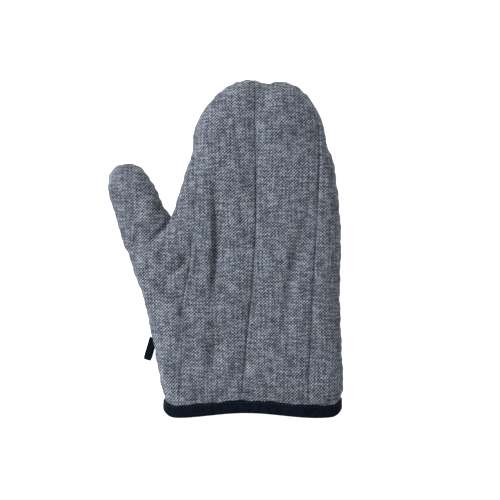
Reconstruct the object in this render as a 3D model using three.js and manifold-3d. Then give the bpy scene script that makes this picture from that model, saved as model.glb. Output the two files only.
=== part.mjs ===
// Quilted oven mitt, lying flat on its back with the fingertips towards +Y and the thumb towards -X.
// Millimetres, +Z up. The origin is under the middle of the mitt, on the surface that it lies on.
//
// A mitt is two quilted panels, front (upper) and back (lower). Each is a shell fabric, a batting and a
// lining, sewn together round the edge and bound at the cuff. Every layer is one dome-shaped sheet here:
// its outer and inner faces are the mitt's own outer form, moved in by the layer's two depths. The panels
// are parted along the thumb fold, so that the thumb can turn against the hand.
import * as THREE from "three";
import { mergeVertices } from "three/addons/utils/BufferGeometryUtils.js";
import Module from "manifold-3d";

// ---- Driving dimensions ----
const SEAM_HEIGHT = 12; // of the side seam over the table
const FRONT_RISE = 18; // of the front panel over the seam
const BACK_DROP = 12; // of the back panel under the seam, down to the table
const ROUNDING = 27; // distance from the seam over which a panel curves to full height
const THUMB_THINNING = 0.22; // share of its thickness that the thumb loses towards the tip
const THINNING = [10, 70]; // distances behind the fold line where the thumb starts and ends thinning
const CLEARANCE = 0.3; // between neighbouring pieces
const GROOVE_DEPTH = 1.7; // of a quilted line
const THREAD_RADIUS = 0.25;
const THREAD_CURVE_SEGMENTS = 4;
const THREAD_LIFT = 0.45 + THREAD_RADIUS; // from the bottom of its groove to a thread's middle
const SEAM_THREAD_GAP = 0.5; // half the slot between the shells that the seam thread lies in
const SEAM_THREAD_END = -136; // y where the seam thread stops, inside the binding
const SEAM_THREAD_STEP = 4; // points of the outline from one point of the thread to the next
const THREAD_BREAK = [1, 1.5]; // from the fold's two ends to where the thread stops

const PANEL_END = -145.8; // where the panels stop inside the binding
const BINDING_END = -149.5;
const BINDING_BEVEL = 1;
const BINDING_EDGE = -137.2; // upper edge of the binding
const PINCH_START = -125; // the padding thins from here down to the binding
const PINCH_END = -135.5;
const CUFF_WAVE = 2.2; // height of the waves in the cuff's edge
const CUFF_WAVE_START = -95; // the panels' rows start to follow the cuff's edge here
const CUFF_WAVE_FULL = -140;
const CUFF_WAVE_LENGTH = 130;
const CUFF_WAVE_TOP = 18; // x of a wave's highest place
const CUFF_CORNER = 9; // how far from the side seams the cuff's corners are rounded
const CUFF_CORNER_LIFT = 4.5;

const LOOP_TAPE = 0.9; // thickness of the hanging loop's tape
const LOOP_WIDTH = 7.3;
const LOOP_LENGTH = 20;
const LOOP_EYE_HALF = 3.4; // half the height of the loop's eye
const LOOP_WIDEST = 13; // from the root to the eye's widest place
const LOOP_STUB = 10; // length behind the root, before the cut ends are cut along the seam
const LOOP_ROOT_GAP = 1; // from the side seam to the loop's cut ends
const LOOP_DROOP = 14; // degrees that the loop hangs below level
const LOOP_ROOT = [-65.6, -82];
const LOOP_ROOT_SINK = 0.4; // of the root's middle below the side seam
const LOOP_END = [-71.2, -101.2];
const LOOP_SEAM = [[-63.1, -92], [-68.3, -70]]; // the side seam's line where the tape's ends go in

// Depth of each layer's outer and inner face under the mitt's outer form: [on the body, at the binding].
const LAYERS = {
  shell: { outer: [0, 2.6], inner: [1, 3.3] },
  batting: { outer: [1.3, 3.6], inner: [5.1, 4.8] },
  lining: { outer: [5.4, 5.1], inner: [6.3, 5.9] },
};
const BINDING_DEPTHS = { outer: 0.8, outerInside: 1.6, innerInside: 6.4, inner: 7.3 };
const STITCH_DEPTH = 0.3; // of the binding's line of stitches, under the outer form
const STITCH_INSET = 1.6; // of the stitches from the binding's upper edge

// ---- Outline, seen from above ----
const CROTCH = new THREE.Vector2(-48.4, 28.4);
const FOLD_FOOT = new THREE.Vector2(-79.3, -31);
const THUMB_OUTER_EDGE = [
  [-57, -152], [-57, -142], [-57.4, -130], [-60.5, -112], [-64, -90], [-69, -68], [-73.6, -46],
  [-79.3, -31], [-85.3, -14], [-88, -4], [-92.5, 4], [-95.4, 14], [-98.3, 26], [-101.8, 36], [-104.6, 46],
  [-106.3, 58], [-104.6, 67], [-99, 73.5], [-91, 77],
];
const THUMB_INNER_EDGE = [
  [-91, 77], [-81, 75.6], [-73, 69.5], [-65.5, 59], [-59, 45.5], [-54.5, 36], [-48.4, 28.4],
];
const FINGER_EDGE = [
  [-48.4, 28.4], [-45, 41], [-40.5, 54], [-37, 68], [-33, 77], [-30, 90], [-28.8, 105], [-25, 116],
  [-18, 127], [-8.8, 138], [2, 146], [9, 150],
];
const TIP_EDGE = [[9, 150], [18, 151.6], [28, 151], [38, 148.6], [47, 150.4], [57, 149.4]];
const LITTLE_FINGER_EDGE = [
  [57, 149.4], [66, 144.5], [76, 133], [84, 120], [89, 106], [91, 91], [96, 82], [99.4, 62],
  [102, 40], [103.8, 8], [102.8, -40], [104, -80], [105.8, -118], [106.2, -130], [106.2, -152],
];
const QUILT_LINES = [ // [x, y] of the upper and lower end of each stitched line on the hand
  [[-31, 78], [-45.9, -134]],
  [[26.5, 152], [14, -134]],
  [[91, 91], [73.4, -131]],
];
const THUMB_QUILT_LINE = [[-82.6, 75], [-87.6, -5]];
const THUMB_QUILT_REACH = [0.14, 0.86]; // shares of that line where its thread starts and ends
const THUMB_QUILT_POINTS = 5;

const curveThrough = (points) => new THREE.SplineCurve(points.map(([x, y]) => new THREE.Vector2(x, y)));
const outerEdge = curveThrough(THUMB_OUTER_EDGE).getPoints(90);
const innerEdge = curveThrough(THUMB_INNER_EDGE).getPoints(40);
const fingerEdge = curveThrough(FINGER_EDGE).getPoints(60);
const tipEdge = curveThrough(TIP_EDGE).getPoints(30);
const littleFingerEdge = curveThrough(LITTLE_FINGER_EDGE).getPoints(70);
const outline = [...outerEdge, ...innerEdge, ...fingerEdge, ...tipEdge, ...littleFingerEdge];

const foldDirection = CROTCH.clone().sub(FOLD_FOOT).normalize();
const foldNormal = new THREE.Vector2(-foldDirection.y, foldDirection.x); // points to the thumb

// ---- Small helpers ----
const mix = (a, b, t) => a + (b - a) * t;
const ramp = (value, from, to) => THREE.MathUtils.smoothstep((value - from) / (to - from), 0, 1);
const behindFold = (point) => point.clone().sub(CROTCH).dot(foldNormal);

function crossing(points, coordinate, value, other) {
  for (let i = 1; i < points.length; i++) {
    const [a, b] = [points[i - 1], points[i]];
    if ((a[coordinate] - value) * (b[coordinate] - value) <= 0 && a[coordinate] !== b[coordinate]) {
      return mix(a[other], b[other], (value - a[coordinate]) / (b[coordinate] - a[coordinate]));
    }
  }
  throw new Error(`no edge at ${coordinate} ${value}`);
}

function distanceToSeam(point) {
  let nearest = Infinity;
  for (let i = 1; i < outline.length; i++) {
    const along = outline[i].clone().sub(outline[i - 1]);
    const length = along.length();
    if (length === 0) continue;
    const t = THREE.MathUtils.clamp(point.clone().sub(outline[i - 1]).dot(along) / length ** 2, 0, 1);
    nearest = Math.min(nearest, outline[i - 1].clone().addScaledVector(along, t).distanceTo(point));
  }
  return nearest;
}

// ---- The mitt's outer form ----
// A place holds a point in plan with what the form needs there; face() gives its 3-D point at a depth.
// inward is how far the point moves away from the seams for each millimetre of depth.
function place(x, y, inward = new THREE.Vector2(), groove = 0) {
  const point = new THREE.Vector2(x, y);
  const distance = distanceToSeam(point);
  const crown = Math.sqrt(1 - (1 - Math.min(distance / ROUNDING, 1)) ** 2);
  const onThumb = x < CROTCH.x ? ramp(behindFold(point), ...THINNING) : 0;
  const fade = 1 - ramp(-y, -PINCH_START, -PINCH_END);
  const thinning = 1 - THUMB_THINNING * onThumb;
  return { point, distance, inward, crown, thinning, groove: groove * crown * fade };
}

function face(spot, side, depth, rimGap) {
  const x = spot.point.x + spot.inward.x * depth;
  let y = spot.point.y + spot.inward.y * depth;
  const cuff = ramp(-spot.point.y, -CUFF_WAVE_START, -CUFF_WAVE_FULL);
  y += cuff * CUFF_WAVE * Math.cos((2 * Math.PI * (spot.point.x - CUFF_WAVE_TOP)) / CUFF_WAVE_LENGTH);
  y += cuff * CUFF_CORNER_LIFT * Math.max(0, 1 - spot.distance / CUFF_CORNER) ** 2;
  const rise = side > 0 ? FRONT_RISE : BACK_DROP;
  const height = (rise * spot.thinning - depth) * spot.crown - spot.groove;
  return new THREE.Vector3(x, y, SEAM_HEIGHT + side * Math.max(height, rimGap));
}

const layerDepth = ([body, cuff], y) => mix(body, cuff, ramp(-y, -PINCH_START, -PINCH_END));

// ---- Rows of places over the hand and over the thumb ----
const HAND_ROWS = [
  PANEL_END, -136.4, -129, -112, -86, -58, -31, -14, 8, 28.4, 50, 74, 94, 114, 128, 138.5, 145,
];
const QUILT_ROWS = [[2, 9], [2, 14], [2, 10]]; // the first and the last row that each line's thread crosses
// Each column's share of the way from one guide line to the next; the first of each is on the line.
const COLUMNS = [
  [0, 0.1, 0.3, 0.62],
  [0, 0.3, 0.7],
  [0, 0.33, 0.67],
  [0, 0.35, 0.72, 0.93, 1],
];
const GUIDE_MARGIN = 5; // between guide lines where they run together at the fingertips
const CUFF_TOP = -129; // the sides are parallel below here

const fadeFrom = (distance) => Math.max(0, 1 - distance / ROUNDING);

function handEdges(y) {
  const onFold = y > FOLD_FOOT.y && y < CROTCH.y;
  const foldX = mix(FOLD_FOOT.x, CROTCH.x, (y - FOLD_FOOT.y) / (CROTCH.y - FOLD_FOOT.y));
  const seamX = () => crossing(y <= FOLD_FOOT.y ? outerEdge : fingerEdge, "y", y, "x");
  const parted = onFold || y === CROTCH.y || y === FOLD_FOOT.y;
  const left = (onFold ? foldX : seamX()) + (parted ? CLEARANCE / 2 : 0);
  return { left, right: crossing(littleFingerEdge, "y", y, "x"), onFold };
}

function guideLines(y, left, right) {
  const count = QUILT_LINES.length + 1;
  const lines = QUILT_LINES.map(([[topX, topY], [lowX, lowY]], i) => {
    const x = mix(lowX, topX, (y - lowY) / (topY - lowY));
    return Math.min(Math.max(x, left + (i + 1) * GUIDE_MARGIN), right - (count - 1 - i) * GUIDE_MARGIN);
  });
  return [left, ...lines, right];
}

function handRow(y) {
  const edgeY = Math.max(y, CUFF_TOP);
  const { left, right, onFold } = handEdges(edgeY);
  const guides = guideLines(edgeY, left, right);
  const down = fadeFrom(TIP_EDGE[0][1] - y);
  return COLUMNS.flatMap((shares, i) => shares.map((share) => {
    const x = mix(guides[i], guides[i + 1], share);
    const fromLeft = onFold ? 0 : fadeFrom(x - left);
    const inward = new THREE.Vector2(fromLeft - fadeFrom(right - x), -down);
    return place(x, y, inward, share === 0 && i > 0 ? GROOVE_DEPTH : 0);
  }));
}

function tipRow(below) {
  const [tipLeft, tipRight] = [tipEdge[0].x, tipEdge.at(-1).x];
  const [firstX, lastX] = [below[0].point.x, below.at(-1).point.x];
  return below.map(({ point, inward }) => {
    const x = mix(tipLeft, tipRight, (point.x - firstX) / (lastX - firstX));
    return place(x, crossing(tipEdge, "x", x, "y"), new THREE.Vector2(inward.x, -1));
  });
}

function handRows() {
  const rows = HAND_ROWS.map(handRow);
  return [...rows, tipRow(rows.at(-1))];
}

const THUMB_ROWS = [0, 0.14, 0.3, 0.48, 0.66, 0.8, 0.91, 1];
const THUMB_COLUMNS = [0, 0.12, 0.3, 0.5, 0.7, 0.88, 1];
const TIP_CUT = 0.02; // share of the thumb's edges that the last row cuts off at the tip

function evenPath(points) {
  const path = new THREE.CatmullRomCurve3(points.map(({ x, y }) => new THREE.Vector3(x, y, 0)));
  return (t) => path.getPointAt(t);
}

function thumbRows() {
  const outer = evenPath([FOLD_FOOT, ...outerEdge.filter(({ y }) => y > FOLD_FOOT.y)]);
  const inner = evenPath([...innerEdge].reverse());
  const length = CROTCH.distanceTo(new THREE.Vector2(THUMB_INNER_EDGE[0][0], THUMB_INNER_EDGE[0][1]));
  return THUMB_ROWS.map((t, row) => {
    const reach = t * (1 - TIP_CUT);
    const [outerEnd, innerEnd] = [outer(reach), inner(reach)];
    const across = innerEnd.clone().sub(outerEnd);
    const width = across.length();
    across.normalize();
    const fromTip = fadeFrom(length * (1 - t));
    return THUMB_COLUMNS.map((share) => {
      const spot = outerEnd.clone().lerp(innerEnd, share);
      const sideways = fadeFrom(share * width) - fadeFrom((1 - share) * width);
      const down = new THREE.Vector2(across.y, -across.x);
      const inward = new THREE.Vector2(across.x, across.y).multiplyScalar(sideways);
      inward.addScaledVector(down, fromTip);
      const shift = row === 0 ? CLEARANCE / 2 : 0;
      return place(spot.x + foldNormal.x * shift, spot.y + foldNormal.y * shift, inward);
    });
  });
}

// ---- Solids ----
function closedMesh(points, triangles) {
  const geometry = new THREE.BufferGeometry();
  const positions = points.flatMap((point) => point.toArray());
  geometry.setAttribute("position", new THREE.Float32BufferAttribute(positions, 3));
  geometry.setIndex(triangles.flat());
  geometry.computeVertexNormals();
  return geometry;
}

function quad(a, b, c, d) {
  return [[a, b, c], [a, c, d]];
}

// One layer of one panel: the outer face, the inner face and the rim between them.
function layerSheet(rows, side, { outer, inner }, rimGap) {
  const columns = rows[0].length;
  const faces = [outer, inner].map((depths) => rows.flat().map((spot) => (
    face(spot, side, layerDepth(depths, spot.point.y), rimGap))));
  const count = faces[0].length;
  const at = (row, column) => row * columns + column;
  const triangles = [];
  for (let r = 0; r < rows.length - 1; r++) {
    for (let c = 0; c < columns - 1; c++) {
      const outerPair = quad(at(r, c), at(r, c + 1), at(r + 1, c + 1), at(r + 1, c));
      triangles.push(...outerPair, ...outerPair.map((corners) => corners.map((i) => i + count).reverse()));
    }
  }
  const rim = [];
  for (let c = 0; c < columns - 1; c++) rim.push(at(0, c));
  for (let r = 0; r < rows.length - 1; r++) rim.push(at(r, columns - 1));
  for (let c = columns - 1; c > 0; c--) rim.push(at(rows.length - 1, c));
  for (let r = rows.length - 1; r > 0; r--) rim.push(at(r, 0));
  rim.forEach((a, i) => {
    const b = rim[(i + 1) % rim.length];
    triangles.push(...quad(b, a, a + count, b + count));
  });
  const outward = side > 0 ? triangles : triangles.map(([a, b, c]) => [a, c, b]);
  return closedMesh(faces.flat(), outward);
}

// Each quad is split along the diagonal that rises to the right, as the layers' quads are, so that the
// faces lie parallel to theirs.
function sweptLoop(sections) {
  const size = sections[0].length;
  const points = sections.flat();
  const rises = (a, b) => (points[b].x - points[a].x) * (points[b].y - points[a].y) > 0;
  const triangles = [];
  sections.forEach((section, i) => {
    const next = (i + 1) % sections.length;
    section.forEach((point, j) => {
      const after = (j + 1) % size;
      const [a, b, c, d] = [i * size + j, next * size + j, next * size + after, i * size + after];
      triangles.push(...(rises(a, c) ? quad(a, b, c, d) : quad(b, c, d, a)));
    });
  });
  return closedMesh(points, triangles);
}

function thread(points) {
  const path = new THREE.CatmullRomCurve3(points, false, "centripetal");
  const section = new THREE.Shape();
  section.absarc(0, 0, THREAD_RADIUS, 0, 2 * Math.PI);
  return new THREE.ExtrudeGeometry(section, {
    steps: (points.length - 1) * 2,
    curveSegments: THREAD_CURVE_SEGMENTS,
    extrudePath: path,
    bevelEnabled: false,
  });
}

// ---- Cuff binding: a folded tape round the mouth, over the edges of all the layers ----
function mouthRing(profile) {
  return [1, -1].flatMap((side) => {
    const stations = profile.map(([, y]) => handRow(y));
    const count = stations[0].length;
    const order = [...Array(count).keys()].slice(side > 0 ? 0 : 1, side > 0 ? count : count - 1);
    const walk = side > 0 ? order : order.reverse();
    return walk.map((i) => profile.map(([depth], p) => face(stations[p][i], side, depth, 0)));
  });
}

function cuffBinding() {
  const { outer, outerInside, innerInside, inner } = BINDING_DEPTHS;
  const profile = [
    [outer, BINDING_EDGE], [outerInside, BINDING_EDGE], [outerInside, PANEL_END - CLEARANCE],
    [innerInside, PANEL_END - CLEARANCE], [innerInside, BINDING_EDGE], [inner, BINDING_EDGE],
    [inner, BINDING_END + BINDING_BEVEL], [(inner + innerInside) / 2, BINDING_END],
    [(outer + outerInside) / 2, BINDING_END], [outer, BINDING_END + BINDING_BEVEL],
  ];
  return sweptLoop(mouthRing(profile));
}

function bindingStitches() {
  const [y, r, depth] = [BINDING_EDGE - STITCH_INSET, THREAD_RADIUS, STITCH_DEPTH];
  return sweptLoop(mouthRing([[depth - r, y], [depth, y + r], [depth + r, y], [depth, y - r]]));
}

// ---- Threads ----
function quiltingThread(rows, column, side, first, last) {
  const points = rows.slice(first, last + 1).map((row) => (
    face(row[column], side, 0, 0).add(new THREE.Vector3(0, 0, side * THREAD_LIFT))));
  return thread(points);
}

function thumbQuiltingThread(side) {
  const [[topX, topY], [lowX, lowY]] = THUMB_QUILT_LINE;
  const [start, end] = THUMB_QUILT_REACH;
  const points = Array.from({ length: THUMB_QUILT_POINTS }, (_, i) => {
    const t = mix(start, end, i / (THUMB_QUILT_POINTS - 1));
    const spot = place(mix(topX, lowX, t), mix(topY, lowY, t));
    return face(spot, side, 0, 0).add(new THREE.Vector3(0, 0, side * THREAD_LIFT));
  });
  return thread(points);
}

function seamThread(points) {
  return thread(points.map(({ x, y }) => {
    const spot = place(x, y);
    return face(spot, 1, 0, 0).setZ(SEAM_HEIGHT);
  }));
}

// ---- Hanging loop: a tape folded double, its ends caught in the side seam ----
// Seen along its width the loop is a teardrop, with these distances along it from the root.
const LOOP_OUTSIDE = {
  neck: 1, neckHalf: LOOP_TAPE, half: LOOP_EYE_HALF + LOOP_TAPE, end: LOOP_LENGTH, handles: [6, 7, 17.5],
};
const LOOP_EYE = {
  neck: 3, neckHalf: 0, half: LOOP_EYE_HALF, end: LOOP_LENGTH - LOOP_TAPE, handles: [7, 8, 16.8],
};
const END_ROUNDNESS = 0.6;

function teardrop(path, { neck, neckHalf, half, end, handles: [leaving, widening, turning] }) {
  const low = half * END_ROUNDNESS;
  path.bezierCurveTo(leaving, -neckHalf, widening, -half, LOOP_WIDEST, -half);
  path.bezierCurveTo(turning, -half, end, -low, end, 0);
  path.bezierCurveTo(end, low, turning, half, LOOP_WIDEST, half);
  path.bezierCurveTo(widening, half, leaving, neckHalf, neck, neckHalf);
}

function doubledTape() {
  const profile = new THREE.Shape();
  profile.moveTo(-LOOP_STUB, -LOOP_TAPE);
  profile.lineTo(LOOP_OUTSIDE.neck, -LOOP_TAPE);
  teardrop(profile, LOOP_OUTSIDE);
  profile.lineTo(-LOOP_STUB, LOOP_TAPE);
  const eye = new THREE.Path();
  eye.moveTo(LOOP_EYE.neck, 0);
  teardrop(eye, LOOP_EYE);
  profile.holes.push(eye);
  const tape = new THREE.ExtrudeGeometry(profile, {
    depth: LOOP_WIDTH,
    curveSegments: 6,
    bevelEnabled: false,
  });
  tape.translate(0, 0, -LOOP_WIDTH / 2);
  const root = new THREE.Vector3(...LOOP_ROOT, SEAM_HEIGHT - LOOP_ROOT_SINK);
  const level = new THREE.Vector3(...LOOP_END, root.z).sub(root).normalize();
  const droop = THREE.MathUtils.degToRad(LOOP_DROOP);
  const along = level.clone().multiplyScalar(Math.cos(droop)).setZ(-Math.sin(droop));
  const across = new THREE.Vector3(0, 0, 1).cross(level).negate();
  const up = across.clone().cross(along);
  return tape.applyMatrix4(new THREE.Matrix4().makeBasis(along, up, across).setPosition(root));
}

// A block on the mitt's side of the seam, which cuts the tape's two ends off along it.
function mittSide() {
  const [low, high] = LOOP_SEAM.map(([x, y]) => new THREE.Vector2(x, y));
  const seam = high.clone().sub(low);
  const reach = 2 * LOOP_LENGTH;
  const block = new THREE.BoxGeometry(reach, 3 * seam.length(), 3 * LOOP_LENGTH);
  block.translate(reach / 2, 0, 0);
  block.rotateZ(seam.angle() - Math.PI / 2);
  return block.translate((low.x + high.x) / 2 - LOOP_ROOT_GAP, (low.y + high.y) / 2, SEAM_HEIGHT);
}

async function hangingLoop() {
  const wasm = await Module();
  wasm.setup();
  const toSolid = (geometry) => {
    const bare = geometry.clone();
    bare.deleteAttribute("normal");
    bare.deleteAttribute("uv");
    const merged = mergeVertices(bare, 1e-4);
    return new wasm.Manifold(new wasm.Mesh({
      numProp: 3,
      vertProperties: new Float32Array(merged.getAttribute("position").array),
      triVerts: new Uint32Array(merged.index.array),
    }));
  };
  const cut = toSolid(doubledTape()).subtract(toSolid(mittSide())).getMesh();
  const geometry = new THREE.BufferGeometry();
  geometry.setAttribute("position", new THREE.Float32BufferAttribute(cut.vertProperties, 3));
  geometry.setIndex(new THREE.Uint32BufferAttribute(cut.triVerts, 1));
  geometry.computeVertexNormals();
  return geometry;
}

// ---- Materials ----
const fabric = (color, roughness) => () => (
  new THREE.MeshStandardMaterial({ color, roughness, metalness: 0 }));
const chambray = fabric(0x6c717b, 0.95);
const wadding = fabric(0xe6e2d8, 1);
const liningCloth = fabric(0xd9d4c8, 0.95);
const navyTape = fabric(0x10161f, 0.9);
const greyThread = fabric(0x4a505c, 0.8);
const navyThread = fabric(0x141a24, 0.8);

// ---- Assembly ----
const mitt = new THREE.Group();
const add = (name, geometry, material) => {
  const mesh = new THREE.Mesh(geometry, material());
  mesh.name = name;
  mitt.add(mesh);
};

const regions = { hand: handRows(), thumb: thumbRows() };
const layerMaterials = { shell: chambray, batting: wadding, lining: liningCloth };
for (const [panel, side] of [["front", 1], ["back", -1]]) {
  for (const [layer, depths] of Object.entries(LAYERS)) {
    const rimGap = layer === "shell" ? SEAM_THREAD_GAP : CLEARANCE / 2;
    for (const [region, rows] of Object.entries(regions)) {
      add(`${panel}_${layer}_${region}`, layerSheet(rows, side, depths, rimGap), layerMaterials[layer]);
    }
  }
  QUILT_ROWS.forEach(([first, last], i) => {
    const column = COLUMNS.slice(0, i + 1).flat().length;
    const geometry = quiltingThread(regions.hand, column, side, first, last);
    add(`${panel}_quilting_thread_${i + 1}`, geometry, greyThread);
  });
  add(`${panel}_quilting_thread_thumb`, thumbQuiltingThread(side), greyThread);
}
add("cuff_binding", cuffBinding(), navyTape);
add("binding_stitches", bindingStitches(), navyThread);
add("hanging_loop", await hangingLoop(), navyTape);

// The seam's thread is in three parts, which stop at the fold.
const seamPart = (points, test) => {
  const chosen = points.filter((point) => point.y > SEAM_THREAD_END && test(point));
  return seamThread(chosen.filter((_, i) => i % SEAM_THREAD_STEP === 0));
};
const [footBreak, crotchBreak] = THREAD_BREAK;
const outerPart = seamPart(outerEdge, ({ y }) => y < FOLD_FOOT.y - footBreak);
const thumbPart = seamPart([...outerEdge, ...innerEdge], (point) => (
  behindFold(point) > crotchBreak && point.y > FOLD_FOOT.y + footBreak));
const fingersPart = seamPart([...fingerEdge, ...tipEdge, ...littleFingerEdge], (point) => (
  behindFold(point) < 0));
add("side_seam_thread_outer", outerPart, greyThread);
add("side_seam_thread_thumb", thumbPart, greyThread);
add("side_seam_thread_fingers", fingersPart, greyThread);

export default mitt;
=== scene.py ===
"""Quilted oven mitt of grey-blue chambray with a navy cuff binding and hanging loop, lying flat.

Lengths are worked in millimetres in the mitt's own frame and turned to metres when a mesh is made.
"""

import math

import bpy
import numpy as np
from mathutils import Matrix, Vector
from mathutils.kdtree import KDTree


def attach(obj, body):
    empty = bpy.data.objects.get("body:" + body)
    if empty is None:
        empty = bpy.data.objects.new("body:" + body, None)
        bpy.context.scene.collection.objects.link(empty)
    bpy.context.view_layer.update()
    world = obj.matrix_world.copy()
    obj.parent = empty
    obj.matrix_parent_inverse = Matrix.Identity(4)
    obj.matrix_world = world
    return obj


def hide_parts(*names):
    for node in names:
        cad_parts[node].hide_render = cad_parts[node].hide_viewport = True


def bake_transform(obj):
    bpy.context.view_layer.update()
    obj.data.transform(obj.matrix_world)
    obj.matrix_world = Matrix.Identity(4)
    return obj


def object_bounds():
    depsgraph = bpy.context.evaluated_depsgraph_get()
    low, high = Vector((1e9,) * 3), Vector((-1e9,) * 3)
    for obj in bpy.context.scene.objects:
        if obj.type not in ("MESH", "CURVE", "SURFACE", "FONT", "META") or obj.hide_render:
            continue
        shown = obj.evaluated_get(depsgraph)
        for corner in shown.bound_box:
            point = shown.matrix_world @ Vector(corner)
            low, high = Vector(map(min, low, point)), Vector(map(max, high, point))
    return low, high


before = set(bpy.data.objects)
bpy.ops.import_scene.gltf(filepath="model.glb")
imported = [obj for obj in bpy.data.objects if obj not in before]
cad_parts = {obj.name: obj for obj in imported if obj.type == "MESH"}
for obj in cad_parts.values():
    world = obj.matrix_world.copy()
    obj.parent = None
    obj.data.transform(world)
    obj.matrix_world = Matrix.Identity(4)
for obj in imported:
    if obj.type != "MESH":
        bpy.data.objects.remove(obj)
cad_box = [list(corner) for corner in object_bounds()]
MM = 0.001

# ---- Dimensions, in millimetres ----
SEAM_HEIGHT = 12.0  # of the side seam over the table
FRONT_TOP = cad_box[1][2] / MM
ROUNDING = 27.0  # distance from the seam over which a panel curves to full height
LIP = 1.4  # radius of the cloth's turn into the seam
THUMB_THINNING = 0.2
CLOTH = 0.8  # thickness of the shell cloth
PANEL_END = -146.0
CUFF_TOP = -129.0  # the sides run parallel below here
CUFF_WAVE, CUFF_WAVE_LENGTH, CUFF_WAVE_TOP = 2.2, 130.0, 18.0
CUFF_CORNER, CUFF_CORNER_LIFT = 9.0, 4.5
PINCH = 2.6  # how far the binding presses the panels in
STEP = 2.6  # between the panels' rows before they are subdivided

CROTCH = np.array([-48.4, 28.4])
FOLD_FOOT = np.array([-79.3, -31.0])
FOLD_NORMAL = np.array([-0.9659, 0.2588])  # from the thumb's hinge line towards the thumb
FOLD_WIDTH = 30.0

THUMB_OUTER_EDGE = [
    (-57, -152), (-57, -142), (-57.4, -130), (-60.5, -112), (-64, -90), (-69, -68), (-73.6, -46),
    (-79.3, -31), (-85.3, -14), (-88, -4), (-92.5, 4), (-95.4, 14), (-98.3, 26), (-101.8, 36),
    (-104.6, 46), (-106.3, 58), (-104.6, 67), (-99, 73.5), (-91, 77),
]
THUMB_INNER_EDGE = [(-91, 77), (-81, 75.6), (-73, 69.5), (-65.5, 59), (-59, 45.5), (-54.5, 36), (-48.4, 28.4)]
FINGER_EDGE = [
    (-48.4, 28.4), (-45, 41), (-40.5, 54), (-37, 68), (-33, 77), (-30, 90), (-28.8, 105), (-25, 116),
    (-18, 127), (-8.8, 138), (2, 146), (9, 150),
]
TIP_EDGE = [(9, 150), (18, 151.6), (28, 151), (38, 148.6), (47, 150.4), (57, 149.4)]
LITTLE_FINGER_EDGE = [
    (57, 149.4), (66, 144.5), (76, 133), (84, 120), (89, 106), (91, 91), (96, 82), (99.4, 62),
    (102, 40), (103.8, 8), (102.8, -40), (104, -80), (105.8, -118), (106.2, -130), (106.2, -152),
]
# The panels' columns of points follow these lines; the quilting runs along them up to its start.
GUIDES = [
    [(-46.6, -146), (-41.5, -81), (-38.3, -48), (-31.7, -16), (-30, 17), (-32.6, 47), (-31.5, 76),
     (-22, 100), (-9, 122), (3, 138)],
    [(13.6, -146), (19.5, -77), (23.5, -40), (26.5, 4), (27.6, 39), (26.7, 96), (26.2, 138)],
    [(73, -146), (75.2, -103), (78, -40), (81.5, 17), (83.9, 71), (83.4, 100), (80, 118), (66, 138)],
]
QUILT_START = [76, 152, 116]  # y of each line's upper end
THUMB_QUILT_LINE = [(-82.4, 76), (-82.8, 50), (-83.2, 30), (-85, 12), (-88.3, -5)]


# ---- Curves ----
def smooth_path(points, per_span=6):
    """A Catmull-Rom curve through the points."""
    p = np.array(points, float)
    ends = np.vstack([p[0], p, p[-1]])
    t = np.linspace(0, 1, per_span, endpoint=False)[:, None]
    spans = []
    for a, b, c, d in zip(ends, ends[1:], ends[2:], ends[3:]):
        tangent_b, tangent_c = (c - a) / 2, (d - b) / 2
        spans.append(
            (2 * t**3 - 3 * t**2 + 1) * b + (t**3 - 2 * t**2 + t) * tangent_b
            + (3 * t**2 - 2 * t**3) * c + (t**3 - t**2) * tangent_c
        )
    return np.vstack([*spans, p[-1:]])


def arc_length(path):
    return np.concatenate([[0], np.cumsum(np.linalg.norm(np.diff(path, axis=0), axis=1))])


def along(path, share):
    """Points at shares of the path's length."""
    length = arc_length(path)
    at = np.asarray(share) * length[-1]
    return np.stack([np.interp(at, length, path[:, k]) for k in range(path.shape[1])], -1)


def unit(vectors):
    return vectors / (np.linalg.norm(vectors, axis=1)[:, None] + 1e-12)


def right_normals(tangent):
    """Unit vectors to the right of a flat path's tangents."""
    return unit(np.stack([tangent[:, 1], -tangent[:, 0]], -1))


def ramp(value, start, end):
    t = np.clip((value - start) / (end - start), 0, 1)
    return t * t * (3 - 2 * t)


def to_path(points, path):
    """Distance from each point to a path, positive on its right, and the nearest place's length along it."""
    best = np.full(len(points), np.inf)
    right = np.ones(len(points))
    place = np.zeros(len(points))
    length = arc_length(path)
    for i in range(len(path) - 1):
        a, step = path[i], path[i + 1] - path[i]
        size = np.linalg.norm(step)
        if size < 1e-9:
            continue
        offset = points - a
        t = np.clip(offset @ step / size**2, 0, 1)
        gap = np.linalg.norm(offset - t[:, None] * step, axis=1)
        nearer = gap < best
        best = np.where(nearer, gap, best)
        cross = step[0] * offset[:, 1] - step[1] * offset[:, 0]
        right = np.where(nearer, np.where(cross > 0, -1.0, 1.0), right)
        place = np.where(nearer, length[i] + t * size, place)
    return best * right, place


outer_edge = smooth_path(THUMB_OUTER_EDGE)
inner_edge = smooth_path(THUMB_INNER_EDGE)
finger_edge = smooth_path(FINGER_EDGE)
little_finger_edge = smooth_path(LITTLE_FINGER_EDGE)
hand_top = np.vstack([finger_edge, smooth_path(TIP_EDGE)[1:], little_finger_edge[1:]])
outline = np.vstack([outer_edge, inner_edge[1:], hand_top[1:]])


def edge_x(path, y):
    order = np.argsort(path[:, 1], kind="stable")
    return np.interp(y, path[order, 1], path[order, 0])


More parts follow.
